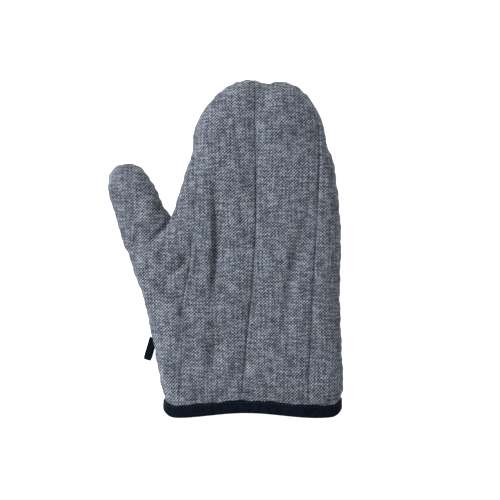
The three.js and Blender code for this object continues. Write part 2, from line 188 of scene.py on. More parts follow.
# ---- Plan grid of a panel: the hand, and the thumb joined to it along the fold ----
EDGE_COLUMNS = 9
CORNER_Y = 138.0
EDGE_TURN = 1 - np.cos(np.linspace(0, math.pi / 2, EDGE_COLUMNS + 1))
BY_LINE = np.array([0.8, 1.8, 3.4, 6])  # distances of the columns on each side of a quilting line
LINE_ROOM = 16  # width of a field that has room for all of those columns
FIELD_COLUMNS = [3, 13, 10, 1]  # evenly spaced columns between the edges and the lines
TURN_SHARE = {"left": 0.55, "right": 0.62}  # the most of a field that its edge's rounded turn may take
THUMB_ROWS = 42
THUMB_SIDES = 104.0, 54.0  # length of the thumb's outer and inner side up to its rounded tip
THUMB_ROUNDING = 22.0


def row_heights():
    """y of each row's ends, with rows exactly at the fold's foot and at the crotch."""
    straight = CORNER_Y - ROUNDING
    stops = [PANEL_END, FOLD_FOOT[1], CROTCH[1], straight]
    parts = [np.linspace(a, b, round((b - a) / STEP) + 1)[1:] for a, b in zip(stops, stops[1:])]
    heights = np.concatenate([[PANEL_END], *parts, (CORNER_Y - ROUNDING * EDGE_TURN[::-1])[1:]])
    return heights, len(parts[0]), len(parts[0]) + len(parts[1])


def row_places(left, right, guides):
    """Places across one row: dense at both edges and beside the lines."""
    stops = [left, *guides, right]
    places = [[left]]
    for i, (a, b) in enumerate(zip(stops, stops[1:])):
        room = b - a
        near_a = near_b = BY_LINE * min(1, room / LINE_ROOM)
        if i == 0:
            near_a = EDGE_TURN[1:] * min(ROUNDING, room * TURN_SHARE["left"])
        if i == len(stops) - 2:
            near_b = EDGE_TURN[1:] * min(ROUNDING, room * TURN_SHARE["right"])
        start, end = a + near_a[-1], b - near_b[-1]
        middle = np.linspace(start, end, FIELD_COLUMNS[i] + 2)[1:-1]
        last = [] if abs(end - start) < 1e-6 else [end]
        places += [a + near_a, middle, last, (b - near_b[::-1])[1:], [b]]
    return np.concatenate(places)


def hand_grid():
    heights, foot_row, crotch_row = row_heights()
    share = (heights - heights[0]) / (heights[-1] - heights[0])
    fold_x = np.interp(heights, [FOLD_FOOT[1], CROTCH[1]], [FOLD_FOOT[0], CROTCH[0]])
    below = edge_x(outer_edge, np.maximum(heights, CUFF_TOP))
    seam_x = np.where(heights < FOLD_FOOT[1], below, edge_x(finger_edge, heights))
    on_fold = (heights >= FOLD_FOOT[1]) & (heights <= CROTCH[1])
    left = np.where(on_fold, fold_x, seam_x)
    right = edge_x(little_finger_edge, np.maximum(heights, CUFF_TOP))
    guides = np.stack([edge_x(smooth_path(guide), heights) for guide in GUIDES], -1)
    x = np.array([row_places(*ends) for ends in zip(left, right, guides)])
    crown = hand_top[hand_top[:, 1] >= CORNER_Y - 1e-6]
    top_y = np.interp(x[-1], crown[:, 0], crown[:, 1])
    y = heights[:, None] + (top_y - CORNER_Y) * share[:, None] ** 3
    lines = []
    for k, start in enumerate(QUILT_START):
        column = np.argmin(np.abs(x[0] - guides[0, k]))
        points = np.stack([x[:, column], y[:, column]], -1)
        lines.append(points[points[:, 1] <= start + 0.01])
    return np.stack([x, y], -1), foot_row, crotch_row, lines


def thumb_grid(fold):
    """Rows from the fold line to the thumb's tip; the first row is the fold itself."""
    outer = np.vstack([FOLD_FOOT, outer_edge[outer_edge[:, 1] > FOLD_FOOT[1] + 0.5]])
    whole = np.vstack([outer, inner_edge[1:]])
    total = arc_length(whole)[-1]
    outer_length, inner_length = THUMB_SIDES
    even_steps = np.linspace(0, outer_length - THUMB_ROUNDING, THUMB_ROWS - EDGE_COLUMNS)
    steps = np.concatenate([even_steps, (outer_length - THUMB_ROUNDING * EDGE_TURN[::-1])[1:]])
    t = steps / steps[-1]
    left = along(whole, t * outer_length / total)
    right = along(whole[::-1], t * inner_length / total)
    tip = along(whole, np.linspace(outer_length / total, 1 - inner_length / total, 60))
    even = np.linspace(0, 1, len(fold))
    dense = (1 - np.cos(even * math.pi)) / 2
    mix = ramp(t, 0, 0.5)[:, None]
    u = even * (1 - 0.75 * mix) + dense * 0.75 * mix
    grid = np.zeros((len(t), len(fold), 2))
    for k in range(2):
        bottom = np.interp(u, even, fold[:, k])
        top = along(tip, u)[..., k]
        sides = left[:, None, k] * (1 - u) + right[:, None, k] * u
        corners = (
            (1 - t[:, None]) * ((1 - u) * fold[0, k] + u * fold[-1, k])
            + t[:, None] * ((1 - u) * tip[0, k] + u * tip[-1, k])
        )
        grid[..., k] = sides + (1 - t[:, None]) * bottom + t[:, None] * top - corners
    grid[0] = fold
    return grid


def cells(index):
    return np.stack([index[:-1, :-1], index[:-1, 1:], index[1:, 1:], index[1:, :-1]], -1).reshape(-1, 4)


def wrap(index):
    """The grid with its first column repeated after the last, for a closed tube."""
    return np.hstack([index, index[:, :1]])


def inside(points):
    """Whether each point lies within the mitt's outline, by counting the edges to its right."""
    crossings = np.zeros(len(points), int)
    for a, b in zip(outline, np.roll(outline, -1, axis=0)):
        if a[1] == b[1]:
            continue
        spans = (a[1] > points[:, 1]) != (b[1] > points[:, 1])
        crossings += spans & (points[:, 0] < a[0] + (points[:, 1] - a[1]) / (b[1] - a[1]) * (b[0] - a[0]))
    return crossings % 2 == 1


def seam_distance(points):
    """Distance inwards from the side seam, negative outside it, and the length along the seam."""
    gap, place = to_path(points, outline)
    level = points.copy()
    level[:, 1] = np.maximum(points[:, 1], CUFF_TOP)
    low = points[:, 1] < CUFF_TOP
    if low.any():
        gap[low] = to_path(level[low], outline)[0]
    return np.abs(gap) * np.where(inside(level), 1, -1), place


class Plan:
    """The panel's flat grid: points, quads and the loop of points round the seam."""

    def __init__(self):
        hand, foot_row, crotch_row, self.lines = hand_grid()
        thumb = thumb_grid(hand[foot_row : crotch_row + 1, 0])
        hand_index = np.arange(hand.shape[0] * hand.shape[1]).reshape(hand.shape[:2])
        thumb_index = np.zeros(thumb.shape[:2], int)
        thumb_index[0] = hand_index[foot_row : crotch_row + 1, 0]
        thumb_index[1:] = hand_index.size + np.arange(thumb_index[1:].size).reshape(thumb_index[1:].shape)
        self.points = np.vstack([hand.reshape(-1, 2), thumb[1:].reshape(-1, 2)])
        self.quads = np.vstack([cells(hand_index), cells(thumb_index)])
        self.seam = np.concatenate([
            hand_index[: foot_row + 1, 0], thumb_index[1:, 0], thumb_index[-1, 1:], thumb_index[-2:0:-1, -1],
            hand_index[crotch_row:, 0], hand_index[-1, 1:], hand_index[-2::-1, -1],
        ])
        self.cuff = hand_index[0]
        self.lines.append(smooth_path(THUMB_QUILT_LINE)[::-1])
        self.distance, self.place = seam_distance(self.points)
        self.distance[self.seam] = 0
        self.distance = np.maximum(self.distance, 0)
        normal = right_normals(np.gradient(self.points[self.seam], axis=0))
        for _ in range(3):
            normal[1:-1] = (normal[:-2] + 2 * normal[1:-1] + normal[2:]) / 4
        self.inward = unit(normal)


plan = Plan()
PRESSED = 126, 137  # how far below the mitt's centre the binding starts and stops pressing harder
pressed = ramp(-plan.points[:, 1], *PRESSED)


# ---- The mitt's plain outer form ----
def crown(distance):
    return np.sqrt(np.clip(1 - (1 - np.minimum(distance / ROUNDING, 1)) ** 2, 0, 1))


def plain_height(points, distance, side):
    """Height of the plain outer form over the seam, upwards in front and downwards behind."""
    rise = FRONT_TOP - SEAM_HEIGHT if side > 0 else SEAM_HEIGHT
    behind = (points - CROTCH) @ FOLD_NORMAL
    on_thumb = np.where(points[:, 0] < CROTCH[0], ramp(behind, 10, 70), 0)
    return LIP + (rise * (1 - THUMB_THINNING * on_thumb) - LIP) * crown(distance)


def cuff_shift(points, distance):
    """How far up the wavy cuff and its rounded corners move each point."""
    near = ramp(-points[:, 1], 95, 140)
    wave = CUFF_WAVE * np.cos(2 * math.pi * (points[:, 0] - CUFF_WAVE_TOP) / CUFF_WAVE_LENGTH)
    return near * (wave + CUFF_CORNER_LIFT * np.maximum(0, 1 - distance / CUFF_CORNER) ** 2)


def away_from_seam(points):
    """The direction in plan that leads away from the nearest place of the seam."""
    steps = np.eye(2) * 0.4
    slope = [seam_distance(points + step)[0] - seam_distance(points - step)[0] for step in steps]
    return unit(np.stack(slope, -1))


def flattened(points, distance):
    """Places in the flat cloth, which reaches further out than the rounded panel does in plan."""
    d = ROUNDING * (1 - np.cos(np.linspace(0, math.pi / 2, 40)))
    length = arc_length(np.column_stack([d, (SEAM_HEIGHT + LIP) * crown(d)]))
    extra = (length[-1] - length) - (ROUNDING - d)
    return points - away_from_seam(points) * np.interp(distance, d, extra)[:, None]


def surface_normals(vertices, quads):
    normal = np.zeros_like(vertices)
    a, b, c, d = (vertices[quads[:, k]] for k in range(4))
    face = np.cross(c - a, d - b)
    for k in range(4):
        np.add.at(normal, quads[:, k], face)
    return unit(normal)


def plain_form(side):
    """Points of the plain outer form and its normals, which point out of the mitt."""
    height = plain_height(plan.points, plan.distance, side)
    vertices = np.column_stack([plan.points, SEAM_HEIGHT + side * height])
    normal = surface_normals(vertices, plan.quads) * side
    normal[plan.seam] = np.column_stack([-plan.inward, np.zeros(len(plan.seam))])
    return vertices, normal


# ---- Relief of the quilted cloth ----
FOLDS = [  # path, depth, half width, and the share of it that the side on the path's right has
    ([(-10, 60), (-8.4, 32), (-7.6, 8), (-8.4, -16), (-12, -50)], 7.8, 8.0, 0.45),
    ([(-10, -74), (-9.5, -92), (-13, -112)], 5.0, 8, 0.75),
    ([(76, 40), (68, 12), (61.6, -8), (57, -42), (52, -80)], 3.8, 7.5, 0.6),
    ([(35, -112.5), (52, -114), (76, -112)], 0.9, 2.6, 1),
    ([(-47.5, 31), (-51, 23), (-57, 15), (-64, 8), (-70, 4)], 4.8, 2.9, 1.1),
    ([(-52, 20), (-53, 8), (-56, -4), (-58, -16)], 2.2, 3.4, 0.8),
    ([(-35, -6), (-39, -16), (-47, -23)], 2.6, 3.2, 0.8),
    ([(-54, 30), (-63, 19), (-74, 7)], 1.1, 2.8, 1),
    ([(-42, -18), (-52, -27), (-66, -38)], 1.1, 3, 1),
    ([(-58, -6), (-68, -20), (-75, -30)], 0.9, 2.8, 1),
    ([(-68, 40), (-84, 34), (-99, 32)], 0.8, 2.4, 1),
    ([(-66, 22), (-78, 10), (-90, -2)], 1.0, 2.6, 1),
    ([(40, 78), (60, 77), (78, 79)], 0.5, 2.2, 1),
    ([(45, 98), (66, 97), (84, 100)], 0.45, 2.2, 1),
    ([(2, 128), (8, 112), (9, 90)], 0.6, 3.4, 1),
    ([(52, 138), (58, 122), (60, 104)], 0.6, 3.2, 1),
    ([(92, 90), (84, 82), (72, 70)], 1.0, 2.6, 1),
    ([(-30, 82), (-20, 74), (-8, 70)], 0.7, 2.8, 1),
    ([(-36, 66), (-26, 60), (-18, 52)], 0.6, 2.6, 1),
]
BELOW_MIDDLE = [(39, -133), (41.5, -124), (44, -116)]  # short pleats that the binding takes in
PLEATS = [BELOW_MIDDLE, [(21, -134), (22, -127), (24, -120)], [(-24, -133), (-22, -126), (-21, -119)],
          [(71, -133), (70.5, -124), (71.5, -117)], [(90, -134), (89, -127), (89, -121)],
          [(-38, -133), (-35.5, -126), (-34, -120)], [(1, -134), (2, -128), (2, -122)]]


def lumps(points, size, seed, count=24):
    """Smooth random bumps, about +-1, at a scale of size millimetres."""
    local = np.random.default_rng(seed)
    angle = local.uniform(0, 2 * math.pi, count)
    wave = 2 * math.pi / (size * local.uniform(0.7, 1.6, count))
    phase = local.uniform(0, 2 * math.pi, count)
    value = np.zeros(len(points))
    for a, k, p in zip(angle, wave, phase):
        value += np.sin(k * (points[:, 0] * math.cos(a) + points[:, 1] * math.sin(a)) + p)
    return value / math.sqrt(count)


def line_gaps(points):
    return [to_path(points, line) for line in plan.lines]


def quilt_relief(points, gaps):
    """The pads' slopes down to each line, a sharp crease along it and a small ridge at its right."""
    relief = np.zeros(len(points))
    y = points[:, 1]
    pinched = ramp(y, 8, 24) + 1 - ramp(y, -78, -58)  # where the first line stands up as a tuck
    for i, (gap, place) in enumerate(gaps):
        end = ramp(arc_length(plan.lines[i])[-1] - place, -1, 7)
        swing = 0.85 + 0.3 * np.sin(place / 17 + 2 * i)
        tuck = pinched if i == 0 else np.full(len(points), 1.0 if i == 3 else 0.0)
        slope, crease, ridge = [(0.7, 1.5, 1.0), (0.9, 1.9, 0.45), (0.9, 1.9, 0.45), (0.9, 1.3, 0.9)][i]
        relief -= slope * swing * np.exp(-((gap / 8) ** 2))
        relief -= crease * np.exp(-np.abs(gap) / 1.0) * (0.4 + 0.6 * end) * (1 - 0.6 * tuck)
        relief += ridge * swing * (1 + 1.1 * tuck) * np.exp(-(((gap - 2.2) / (1.4 - 0.5 * tuck)) ** 2))
    return relief


def fold_relief(points, scale):
    relief = np.zeros(len(points))
    for path, depth, width, narrowing in FOLDS + [(pleat, 0.9, 1.5, 0.7) for pleat in PLEATS]:
        curve = smooth_path(path)
        gap, place = to_path(points, curve)
        reach = np.where(gap > 0, width * narrowing, width)
        fade = np.sin(np.clip(place / arc_length(curve)[-1], 0.03, 0.97) * math.pi) ** 0.6
        relief -= scale * depth * fade * np.exp(-((gap / reach) ** 2))
    return relief


def pucker_relief(points, distance, place, gaps):
    """Small gathers across the side seam, beside the quilting and above the binding."""
    rhythm = np.sin(place / 1.55 + 1.8 * np.sin(place / 13)) * (0.7 + 0.4 * np.sin(place / 29))
    relief = 0.5 * rhythm * np.exp(-((distance - 1.5) / 5.5) ** 2)
    for i, (gap, along_line) in enumerate(gaps):
        wave = np.sin(along_line / 1.35 + 1.6 * np.sin(along_line / 9 + i) + np.sign(gap) * 0.9)
        relief += 0.22 * wave * np.exp(-(((np.abs(gap) - 2.6) / 2.6) ** 2))
    above_cuff = points[:, 1] + 137
    gathers = np.sin(points[:, 0] / 0.85 + 2.2 * np.sin(points[:, 0] / 7))
    return relief + 0.3 * gathers * np.exp(-((above_cuff / 7) ** 2))


def fine_relief(points, side):
    """What the cloth simulation is too coarse to make, outwards from the panel's own surface."""
    distance, place = seam_distance(points)
    gaps = line_gaps(points)
    relief = quilt_relief(points, gaps) + fold_relief(points, 1 if side > 0 else 0.5)
    relief += pucker_relief(points, distance, place, gaps)
    relief += 0.35 * lumps(points, 24, 3 if side > 0 else 5) + 0.16 * lumps(points, 8, 11 + side)
    pinch = ramp(-points[:, 1], 130, 138)
    return relief * ramp(distance, 0, 4.5) * (1 - 0.8 * pinch)


# ---- Cloth simulation: each panel is blown up from inside, held at its seams and quilting ----
LATTICE = 3.0
GRID_X = np.arange(-111, 112, LATTICE)
GRID_Y = np.arange(-150, 156, LATTICE)
CLOTH_FRAMES = 20
SOFT_MOVE = 4.0  # the wadding holds the cloth back more the further it moves
MOST_MOVE = 1.7
CLOTH_SETTINGS = dict(
    quality=7, mass=0.3, tension_stiffness=18, compression_stiffness=10, shear_stiffness=5,
    bending_stiffness=2.0, vertex_group_mass="hold", use_pressure=True, uniform_pressure_force=4,
    shrink_min=-0.025,
)


def assign(target, **values):
    for key, value in values.items():
        setattr(target, key, value)
    return target


def make_object(name, vertices, faces, smooth=True):
    mesh = bpy.data.meshes.new(name)
    mesh.from_pydata((np.asarray(vertices) * MM).tolist(), [], [list(map(int, face)) for face in faces])
    mesh.update()
    if smooth:
        mesh.polygons.foreach_set("use_smooth", [True] * len(mesh.polygons))
    thing = bpy.data.objects.new(name, mesh)
    bpy.context.scene.collection.objects.link(thing)
    return thing


def mesh_points(thing):
    graph = bpy.context.evaluated_depsgraph_get()
    mesh = thing.evaluated_get(graph).data
    points = np.zeros(len(mesh.vertices) * 3, np.float32)
    mesh.vertices.foreach_get("co", points)
    return points.reshape(-1, 3).astype(float) / MM


def blown_cloth(side):
    """How far each lattice point moves, as grids of x, y and outward moves."""
    x, y = np.meshgrid(GRID_X, GRID_Y)
    points = np.stack([x.ravel(), y.ravel()], -1)
    distance, _ = seam_distance(points)
    used = (distance > 1.5) & (points[:, 1] > PANEL_END - 1)
    number = np.full(len(points), -1)
    number[used] = np.arange(used.sum())
    quads = cells(np.arange(len(points)).reshape(x.shape))
    quads = number[quads[used[quads].all(axis=1)]]
    spots = points[used]
    start = np.column_stack([spots, SEAM_HEIGHT + side * plain_height(spots, distance[used], side)])
    thing = make_object("cloth_form", start, quads[:, ::side])
    hold = 1 - ramp(distance[used], 3, 9)
    hold = np.maximum(hold, ramp(-spots[:, 1], 130, 135))
    for gap, _ in line_gaps(spots):
        hold = np.maximum(hold, np.exp(-((gap / 2.2) ** 4)))
    group = thing.vertex_groups.new(name="hold")
    for i, weight in enumerate(hold):
        group.add([i], float(weight), "REPLACE")
    cloth = thing.modifiers.new("Cloth", "CLOTH")
    assign(cloth.settings, **CLOTH_SETTINGS)
    cloth.settings.effector_weights.gravity = 0
    cloth.collision_settings.use_collision = False
    cloth.point_cache.frame_start = 1
    cloth.point_cache.frame_end = CLOTH_FRAMES
    for frame_number in range(1, CLOTH_FRAMES + 1):
        bpy.context.scene.frame_set(frame_number)
    move = mesh_points(thing) - start
    bpy.context.scene.frame_set(1)
    bpy.data.objects.remove(thing)
    move[:, 2] *= side
    size = np.linalg.norm(move, axis=1)
    move *= (MOST_MOVE * np.tanh(size / SOFT_MOVE) / np.maximum(size, 1e-9))[:, None]
    grids = np.zeros((len(points), 3))
    grids[used] = move
    return grids.reshape(*x.shape, 3)


def sample(grids, points):
    """Bilinear values of the lattice grids at plan points."""
    u = np.clip((points[:, 0] - GRID_X[0]) / LATTICE, 0, len(GRID_X) - 1.001)
    v = np.clip((points[:, 1] - GRID_Y[0]) / LATTICE, 0, len(GRID_Y) - 1.001)
    i, j = u.astype(int), v.astype(int)
    fu, fv = (u - i)[:, None], (v - j)[:, None]
    low = grids[j, i] * (1 - fu) + grids[j, i + 1] * fu
    high = grids[j + 1, i] * (1 - fu) + grids[j + 1, i + 1] * fu
    return low * (1 - fv) + high * fv


cloth_moves = {side: blown_cloth(side) for side in (1, -1)}


# ---- Meshes ----
def apply_modifier(thing, kind, **settings):
    modifier = assign(thing.modifiers.new(kind.title(), kind), **settings)
    graph = bpy.context.evaluated_depsgraph_get()
    final = thing.evaluated_get(graph)
    mesh = bpy.data.meshes.new_from_object(final, preserve_all_data_layers=True, depsgraph=graph)
    old = thing.data
    thing.modifiers.remove(modifier)
    thing.data = mesh
    bpy.data.meshes.remove(old)
    mesh.name = thing.name


def corner_vertices(thing):
    vertices = np.zeros(len(thing.data.loops), np.int32)
    thing.data.loops.foreach_get("vertex_index", vertices)
    return vertices


def set_weave(thing, coordinates, name="weave"):
    """Keeps each point's place in the flat cloth, which the materials' yarns follow."""
    uv = coordinates[corner_vertices(thing)] * MM
    thing.data.uv_layers.new(name=name).data.foreach_set("uv", uv.astype(np.float32).ravel())


def make_cloth(name, vertices, faces, coordinates):
    thing = make_object(name, vertices, faces)
    set_weave(thing, np.array(coordinates))
    return thing


def plan_places(thing):
    """Each vertex's place in the plan, in millimetres, from a layer of coordinates that it then drops."""
    uv = np.zeros(len(thing.data.loops) * 2, np.float32)
    thing.data.uv_layers["plan"].data.foreach_get("uv", uv)
    places = np.zeros((len(thing.data.vertices), 2))
    places[corner_vertices(thing)] = uv.reshape(-1, 2)
    thing.data.uv_layers.remove(thing.data.uv_layers["plan"])
    return places / MM


def subdivide(thing):
    apply_modifier(thing, "SUBSURF", levels=1, render_levels=1)
    return thing


LOOP_ROOT_Y = -82.4  # where the hanging loop goes into the side seam
LOOP_ROOT_HALF = 7.5
FAR = 99  # from the loop, for the seam's other side
LIP_ANGLES = np.radians([30, 60, 90])
LIP_GAP = 0.05  # from each lip of the closed seam to its middle
TABLE_GAP = 0.35  # the back's cloth flattens out from here down to the table


def seam_opening(points):
    """How far the loop's tape holds each lip of the seam off its centre."""
    away = np.abs(points[:, 1] - LOOP_ROOT_Y) + np.where(points[:, 0] > 0, FAR, 0)
    return 1 - ramp(away, LOOP_ROOT_HALF - 2, LOOP_ROOT_HALF + 3)


def scallops(place):
    """How far the gathered seam stands out or in along its length."""
    return 0.38 * np.sin(place / 1.62 + 1.9 * np.sin(place / 15)) + 0.3 * np.sin(place / 4.1 + 1.3)


def panel(name, side):
    """The shell cloth of one side, from its turn into the seam to the cuff's edge."""
    points, distance, loop = plan.points, plan.distance, plan.seam
    base, normal = plain_form(side)
    base = base - normal * (PINCH * pressed)[:, None]
    edge = np.exp(-distance / 4) * (1 - pressed)
    base[:, :2] += normal[:, :2] * (scallops(plan.place) * edge)[:, None]
    move = sample(cloth_moves[side], points)
    base += move * np.array([1, 1, side])
    base[:, 1] += cuff_shift(points, distance)
    faces, positions = [plan.quads], [base]
    flat = flattened(points, distance)
    places, coordinates = [points], [flat]
    above, count = loop, len(base)
    opening = seam_opening(points[loop])
    base[loop, 2] += side * opening * 0.6
    for angle in LIP_ANGLES:
        ring = base[loop].copy()
        ring[:, :2] += plan.inward * LIP * (1 - math.cos(angle))
        gap = LIP_GAP + opening * (0.6 + 0.35 * math.sin(angle))
        ring[:, 2] = SEAM_HEIGHT + side * (LIP * (1 - math.sin(angle)) + gap)
        positions.append(ring)
        places.append(points[loop] - plan.inward * LIP * angle)
        coordinates.append(flat[loop] - plan.inward * LIP * angle)
        index = count + np.arange(len(loop))
        faces.append(np.stack([above[:-1], above[1:], index[1:], index[:-1]], -1))
        above = index
        count += len(loop)
    faces = np.vstack(faces)[:, ::side]
    thing = make_cloth(name, np.vstack(positions), faces, np.vstack(coordinates))
    set_weave(thing, np.vstack(places), "plan")
    subdivide(thing)
    place = plan_places(thing)
    final = mesh_points(thing)
    final[:, 2] += side * fine_relief(place, side)
    if side < 0:  # the table carries the back
        low = TABLE_GAP * np.exp(np.minimum(final[:, 2] / TABLE_GAP - 1, 0))
        final[:, 2] = np.where(final[:, 2] < TABLE_GAP, low, final[:, 2])
    thing.data.vertices.foreach_set("co", (final * MM).astype(np.float32).ravel())
    thing.data.update()
    return thing, place, final


class Surface:
    """Finds places on a finished panel from places in the flat cloth."""

    def __init__(self, place, final):
        self.final = final
        self.tree = KDTree(len(place))
        for i, (x, y) in enumerate(place):
            self.tree.insert((x, y, 0), i)
        self.tree.balance()

    def at(self, points):
        found = []
        for x, y in points:
            near = self.tree.find_n((x, y, 0), 4)
            weight = np.array([1 / (gap**2 + 0.01) for _, _, gap in near])
            found.append(weight @ self.final[[i for _, i, _ in near]] / weight.sum())
        return np.array(found)


# Of each layer's outer and inner face: the depth, what is added to it at a line, at the cuff and at the
# seam, and the share of the shell's relief that it follows.
LAYERS = {
    "batting": [(1.2, 0.5, 2.4, 2, 1), (4.9, -0.3, -0.2, 0, 0.2)],
    "lining": [(5.2, -0.3, -0.35, 0, 0.2), (5.8, -0.3, -0.4, 0, 0.2)],
}
LEAST_INSET = 2.6  # of the inner layers from the seam, so that the shell covers them
INNER_WEAVE = 300  # how far apart the weave of a layer's two faces is taken
MOST_PRESSED = 2.2  # the deepest hollow that the wadding takes up; deeper ones move the lining too


def lowest_nearby(values):
    """Each point's value or a neighbour's, whichever is lower, so that no layer cuts through a fold."""
    lowest = values.copy()
    in_quad = values[plan.quads].min(axis=1)
    for k in range(4):
        np.minimum.at(lowest, plan.quads[:, k], in_quad)
    return lowest


def layer(name, side, faces_of_layer, smooth):
    """A closed layer inside the shell, between two depths below the plain outer form."""
    base, normal = plain_form(side)
    points, distance = plan.points, plan.distance
    by_line = sum(np.exp(-((gap / 3.2) ** 2)) for gap, _ in line_gaps(points))
    by_seam = np.exp(-distance / 5)
    move = lowest_nearby(sample(cloth_moves[side], points)[:, 2] + fine_relief(points, side))
    shift = cuff_shift(points, distance)
    surfaces_of_layer = []
    for depth, at_line, at_cuff, at_seam, follow in faces_of_layer:
        depths = depth + at_line * by_line + at_cuff * pressed + at_seam * by_seam
        surface = base - normal * depths[:, None]
        gap = seam_distance(surface[:, :2])[0]
        near = gap < LEAST_INSET
        surface[near, :2] += away_from_seam(surface[near, :2]) * (LEAST_INSET - gap[near])[:, None]
        hollow = np.minimum(move + MOST_PRESSED, 0)
        surface[:, 2] += side * (follow * np.minimum(move, 1.5) + (1 - follow) * hollow)
        surface[:, 1] += shift
        surface[plan.seam, 2] = SEAM_HEIGHT + side * 0.1
        if side < 0:
            surface[:, 2] = np.maximum(surface[:, 2], 0.4 + depths * 0.75)
        surfaces_of_layer.append(surface)
    count = len(points)
    rim = np.concatenate([plan.seam, plan.cuff[-2:0:-1]])
    after = np.roll(rim, -1)
    walls = np.stack([rim, after, after + count, rim + count], -1)
    faces = np.vstack([plan.quads, plan.quads[:, ::-1] + count, walls])
    coordinates = np.vstack([points, points + INNER_WEAVE])
    thing = make_cloth(name, np.vstack(surfaces_of_layer), faces[:, ::side], coordinates)
    return subdivide(thing) if smooth else thing


# ---- Threads ----
def stitch_row(name, path, up, length=2.5, pitch=3.2, radius=0.21, rise=0.16, sink=0.3):
    """Stitches along a path, each an arched capsule of thread whose ends dip into the cloth."""
    total = arc_length(path)[-1]
    count = max(1, int(total / pitch))
    stations, sides = 7, 6
    vertices, faces, coordinates = [], [], []
    t = np.linspace(-0.5, 0.5, stations)
    arch = np.cos(t * math.pi)
    thick = radius * np.sqrt(np.clip(arch, 0, 1)) ** 0.7 + 0.02
    around = np.linspace(0, 2 * math.pi, sides, endpoint=False)[:, None]
    for k in range(count):
        middle = (k + 0.5) * total / count
        share = np.clip((middle + t * length) / total, 0, 1)
        line, out = along(path, share), unit(along(up, share))
        across = np.cross(unit(np.gradient(line, axis=0)), out)
        line = line + out * (rise * arch - sink * (1 - arch))[:, None]
        rings = np.cos(around) * across[:, None] + np.sin(around) * out[:, None]
        vertices += list((line[:, None] + thick[:, None, None] * rings).reshape(-1, 3))
        coordinates += [(middle + place * length, a * radius) for place in t for a in around[:, 0]]
        index = k * stations * sides + np.arange(stations * sides).reshape(stations, sides)
        faces += [*cells(wrap(index)), index[0, ::-1], index[-1]]
    return make_cloth(name, vertices, faces, coordinates)


# ---- Cuff binding: a tape with both hems turned under, folded over all the edges ----
PLY = 0.45
OUTER_PLY, OUTER_HEM, INNER_HEM, INNER_PLY = 1.75, 2.27, 5.75, 6.27  # depths of the plies' middles
HEM_TOP, HEM_END, BEND_START = -138.0, -145.4, -147.0
JOIN = (19.0, 29.0)  # x of the two ends where they overlap
OTHER_FACE_WEAVE = 100  # how far apart the weave of the tape's two faces is taken


def mouth_curve():
    """The closed line of the plain form round the mouth, in x and z, with inward normals."""
    left, right = edge_x(outer_edge, CUFF_TOP), edge_x(little_finger_edge, CUFF_TOP)
    turn = ROUNDING * (1 - np.cos(np.linspace(0, math.pi / 2, 17)))
    middle = np.linspace(left + ROUNDING, right - ROUNDING, 84)[1:-1]
    x = np.concatenate([left + turn, middle, right - turn[::-1]])
    gap = np.minimum(x - left, right - x)
    front = np.column_stack([x, SEAM_HEIGHT + (FRONT_TOP - SEAM_HEIGHT) * crown(gap), gap])
    back = np.column_stack([x, SEAM_HEIGHT - SEAM_HEIGHT * crown(gap), gap])[-2:0:-1]
    ring = np.vstack([front, back])
    tangent = np.roll(ring, -1, axis=0)[:, :2] - np.roll(ring, 1, axis=0)[:, :2]
    return ring, right_normals(tangent), len(front)


def binding_line():
    """The middle of the folded tape's section, as (y, depth), from one raw edge to the other."""
    def bend(y, low, high, steps, outward):
        angle = np.linspace(0, math.pi, steps)
        middle, radius = (low + high) / 2, (high - low) / 2
        return [(y + outward * abs(radius) * math.sin(a), middle - radius * math.cos(a)) for a in angle]
    down = [(y, OUTER_PLY) for y in np.linspace(HEM_TOP, BEND_START, 9)[1:-1]]
    up = [(y, INNER_PLY) for y in np.linspace(BEND_START, HEM_TOP, 7)[1:-1]]
    return np.array(
        [(HEM_END, OUTER_HEM), (-142.0, OUTER_HEM)] + bend(HEM_TOP, OUTER_HEM, OUTER_PLY, 5, 1) + down
        + bend(BEND_START, OUTER_PLY, INNER_PLY, 9, -1) + up
        + bend(HEM_TOP, INNER_PLY, INNER_HEM, 5, 1) + [(-142.0, INNER_HEM), (HEM_END, INNER_HEM)]
    )


def thick_section(line, thickness):
    offset = right_normals(np.gradient(line, axis=0)) * thickness / 2
    return np.vstack([line + offset, (line - offset)[::-1]])


mouth, mouth_inward, mouth_front_count = mouth_curve()
mouth_length = arc_length(np.vstack([mouth[:, :2], mouth[:1, :2]]))


def mouth_point(index, y, depth):
    """A place on the binding: depth is measured inwards from the plain form."""
    x, z = mouth[index, :2] + mouth_inward[index] * depth
    x0, gap = mouth[index, 0], mouth[index, 2]
    shift = cuff_shift(np.array([[x0, y]]), np.array([gap]))[0]
    return x, y + shift, z


def binding_offset(index, y, depth):
    """Puckers of the outer face, and the extra plies where the ends overlap."""
    place, x = mouth_length[index], mouth[index, 0]
    outer = 1 - ramp(depth, 3, 5)
    over = 0.0
    body = math.sin(math.pi * min(max((HEM_TOP - y) / 12, 0), 1))
    if index < mouth_front_count:
        low, high = JOIN
        over = ramp(x, low - 0.5, low + 0.3) * (1 - ramp(x, high - 0.3, high + 0.5))
        over -= sum(0.7 * math.exp(-(((x - groove) / 0.9) ** 2)) for groove in (low - 1, high + 1))
    pucker = 0.26 * math.sin(place / 1.6 + 1.7 * math.sin(place / 8)) + 0.18 * math.sin(place / 4.1)
    raised = 0.7 * over + 0.28 * body + pucker * (0.35 + body)
    return -outer * raised + (1 - outer) * 0.12 * math.sin(place / 1.5)


